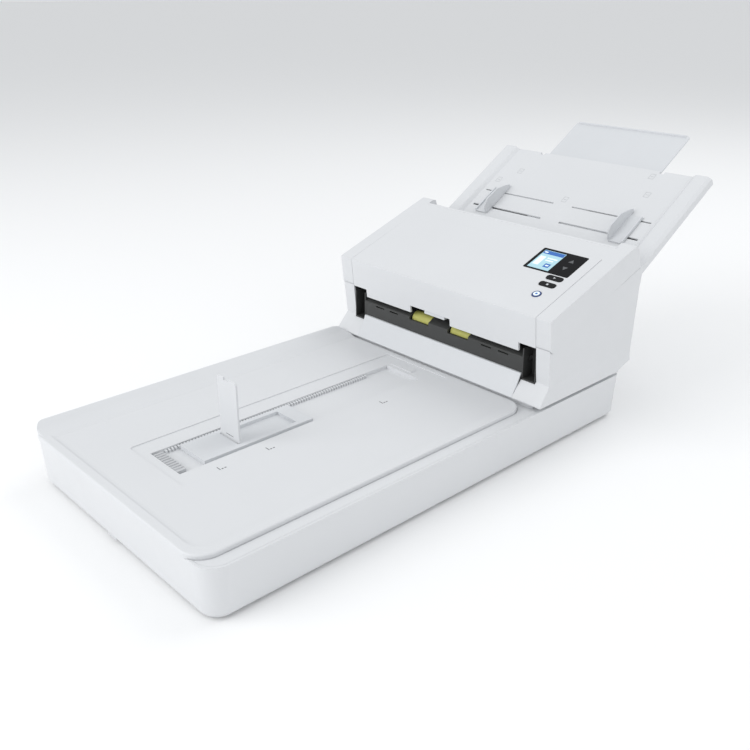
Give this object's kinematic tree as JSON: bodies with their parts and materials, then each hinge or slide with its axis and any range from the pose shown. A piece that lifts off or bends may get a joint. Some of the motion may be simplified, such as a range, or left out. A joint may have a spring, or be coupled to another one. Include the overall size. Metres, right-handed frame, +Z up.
{
  "type": "document scanner",
  "caption": "Desktop document scanner: sheet feeder with tilted input tray and small screen behind a legal-size flatbed whose lid catches the scanned pages.",
  "frame": {"origin": "middle of the casing's footprint, on the plane that the feet stand on", "axes": "+Z up, front (where pages land) towards -Y, +X to the right when facing the front"},
  "size_m": [0.3227, 0.7764, 0.2841],
  "materials": {
    "white_shell": "fine satin",
    "light_shell": "fine satin",
    "charcoal": "satin",
    "glass": "clear",
    "steel": "ground",
    "olive_rubber": "matt",
    "black_rubber": "matt",
    "grey_rubber": "matt ribbed",
    "board": "solder mask",
    "dark_plastic": "moulded",
    "gloss_black": "polished",
    "screen": "lit screen",
    "key_black": "semi gloss",
    "key_blue": "semi gloss",
    "foam_white": "smooth foam",
    "grey_key": "satin"
  },
  "bodies": {
    "casing": {"base_tub": "white_shell", "rubber_feet": "black_rubber", "top_frame": "white_shell", "flatbed_glass": "glass", "carriage_rod": "steel", "carriage_belt": "black_rubber", "carriage_motor": "steel", "control_board": "board", "power_inlet": "dark_plastic", "usb_socket": "steel", "hinge_brackets": "light_shell", "hinge_pins": "steel", "lower_housing": "white_shell", "exit_ramp": "light_shell", "exit_fascia": "charcoal", "lower_paper_guide": "dark_plastic", "lower_scan_bar": "gloss_black", "side_frames": "steel", "feeder_motor": "steel", "feeder_belt": "black_rubber"},
    "lid": {"lid_shell": "white_shell", "lid_pan": "light_shell", "document_mat": "foam_white", "stopper_grip": "grey_rubber"},
    "stopper_sled": {"stopper_sled": "light_shell"},
    "stopper_flap": {"stopper_flap": "white_shell"},
    "carriage": {"scan_carriage": "dark_plastic"},
    "idler_pulley": {"idler_pulley": "dark_plastic"},
    "carriage_pulley": {"carriage_pulley": "dark_plastic"},
    "cover": {"cover_shell": "white_shell", "top_panel": "white_shell", "display_bezel": "gloss_black", "lcd_screen": "screen", "display_board": "board", "upper_paper_guide": "dark_plastic", "upper_scan_bar": "gloss_black", "separation_holder": "dark_plastic", "tray_pins": "steel"},
    "scan_button": {"scan_button": "key_black"},
    "stop_button": {"stop_button": "key_black"},
    "power_button": {"power_button": "key_blue"},
    "up_key": {"up_key": "grey_key"},
    "down_key": {"down_key": "grey_key"},
    "release_tab": {"release_tab": "light_shell"},
    "exit_roller": {"exit_shaft": "steel", "exit_tyres": "olive_rubber"},
    "drive_roller": {"drive_shaft": "steel", "drive_tyres": "olive_rubber"},
    "feed_roller": {"feed_shaft": "steel", "feed_tyre": "olive_rubber"},
    "motor_pulley": {"motor_pulley": "dark_plastic"},
    "drive_pinch": {"drive_pinch": "grey_rubber"},
    "separation_roller": {"separation_roller": "grey_rubber"},
    "tray": {"tray_top": "white_shell", "tray_bottom": "light_shell"},
    "guide_right": {"paper_guide_right": "light_shell"},
    "guide_left": {"paper_guide_left": "light_shell"},
    "guide_pinion": {"guide_pinion": "dark_plastic"},
    "tray_extension": {"tray_extension": "light_shell"}
  },
  "joints": [
    {"name": "lid_hinge", "type": "hinge", "parent": "casing", "child": "lid", "pos_m": [-0.1605, -0.0755, 0.053], "axis": [0, -1, 0], "range_deg": [0, 90]},
    {"name": "stopper_slide", "type": "slide", "parent": "lid", "child": "stopper_sled", "axis": [0, 1, 0], "range_m": [-0.016, 0.146]},
    {"name": "stopper_fold", "type": "hinge", "parent": "stopper_sled", "child": "stopper_flap", "pos_m": [-0.0095, -0.139, 0.054], "axis": [1, 0, 0], "range_deg": [-90, 0]},
    {"name": "carriage_slide", "type": "slide", "parent": "casing", "child": "carriage", "axis": [0, 1, 0], "range_m": [-0.314, 0]},
    {"name": "idler_spin", "type": "hinge", "parent": "casing", "child": "idler_pulley", "pos_m": [0.046, -0.2585, 0.016], "axis": [0, 0, 1], "range_deg": [-2600, 60]},
    {"name": "carriage_pulley_spin", "type": "hinge", "parent": "casing", "child": "carriage_pulley", "pos_m": [0.046, 0.143, 0.016], "axis": [0, 0, 1], "range_deg": [-2600, 60]},
    {"name": "cover_hinge", "type": "hinge", "parent": "casing", "child": "cover", "pos_m": [0, 0.143, 0.1216], "axis": [1, 0, 0], "range_deg": [0, 42]},
    {"name": "scan_button_press", "type": "slide", "parent": "cover", "child": "scan_button", "axis": [0, 0.3315, -0.9435], "range_m": [0, 0.0008], "stiffness_N_per_m": 300, "springref_m": -0.0004},
    {"name": "stop_button_press", "type": "slide", "parent": "cover", "child": "stop_button", "axis": [0, 0.3315, -0.9435], "range_m": [0, 0.0008], "stiffness_N_per_m": 300, "springref_m": -0.0004},
    {"name": "power_button_press", "type": "slide", "parent": "cover", "child": "power_button", "axis": [0, 0.3315, -0.9435], "range_m": [0, 0.0008], "stiffness_N_per_m": 300, "springref_m": -0.0004},
    {"name": "up_key_press", "type": "slide", "parent": "cover", "child": "up_key", "axis": [0, 0.3315, -0.9435], "range_m": [0, 0.0006], "stiffness_N_per_m": 300, "springref_m": -0.0004},
    {"name": "down_key_press", "type": "slide", "parent": "cover", "child": "down_key", "axis": [0, 0.3315, -0.9435], "range_m": [0, 0.0006], "stiffness_N_per_m": 300, "springref_m": -0.0004},
    {"name": "release_tab_press", "type": "slide", "parent": "cover", "child": "release_tab", "axis": [0, 0, -1], "range_m": [0, 0.003], "stiffness_N_per_m": 400, "springref_m": -0.0005},
    {"name": "drive_roller_spin", "type": "hinge", "parent": "casing", "child": "drive_roller", "pos_m": [0, 0.19919, 0.11645], "axis": [1, 0, 0], "continuous": true},
    {"name": "exit_roller_spin", "type": "hinge", "parent": "casing", "child": "exit_roller", "pos_m": [0, 0.15228, 0.0975], "axis": [1, 0, 0], "continuous": true},
    {"name": "feed_roller_spin", "type": "hinge", "parent": "casing", "child": "feed_roller", "pos_m": [0, 0.25002, 0.13213], "axis": [1, 0, 0], "continuous": true},
    {"name": "motor_pulley_spin", "type": "hinge", "parent": "casing", "child": "motor_pulley", "pos_m": [0, 0.2034, 0.084], "axis": [1, 0, 0], "continuous": true},
    {"name": "drive_pinch_spin", "type": "hinge", "parent": "cover", "child": "drive_pinch", "pos_m": [0, 0.19403, 0.12925], "axis": [1, 0, 0], "continuous": true},
    {"name": "separation_roller_spin", "type": "hinge", "parent": "cover", "child": "separation_roller", "pos_m": [0, 0.24092, 0.15466], "axis": [1, 0, 0], "continuous": true},
    {"name": "tray_fold", "type": "hinge", "parent": "cover", "child": "tray", "pos_m": [0, 0.27853, 0.18707], "axis": [-1, 0, 0], "range_deg": [-130, 0]},
    {"name": "guide_right_slide", "type": "slide", "parent": "tray", "child": "guide_right", "axis": [1, 0, 0], "range_m": [-0.066, 0.016]},
    {"name": "guide_left_slide", "type": "slide", "parent": "tray", "child": "guide_left", "axis": [1, 0, 0], "range_m": [-0.016, 0.066]},
    {"name": "guide_pinion_spin", "type": "hinge", "parent": "tray", "child": "guide_pinion", "pos_m": [0, 0.35001, 0.19489], "axis": [0, -0.5135, 0.8581], "range_deg": [-400, 400]},
    {"name": "extension_slide", "type": "slide", "parent": "tray", "child": "tray_extension", "axis": [0, 0.8581, 0.5135], "range_m": [-0.07, 0]}
  ],
  "couplings": [
    {"joint": "idler_spin", "follows": "carriage_slide", "rad_per_m": 116.28},
    {"joint": "carriage_pulley_spin", "follows": "carriage_slide", "rad_per_m": 116.28},
    {"joint": "exit_roller_spin", "follows": "drive_roller_spin", "ratio": 1},
    {"joint": "feed_roller_spin", "follows": "drive_roller_spin", "ratio": 1},
    {"joint": "motor_pulley_spin", "follows": "drive_roller_spin", "ratio": 1},
    {"joint": "drive_pinch_spin", "follows": "drive_roller_spin", "ratio": -1.7},
    {"joint": "guide_left_slide", "follows": "guide_right_slide", "ratio": -1},
    {"joint": "guide_pinion_spin", "follows": "guide_right_slide", "rad_per_m": 83.333}
  ]
}
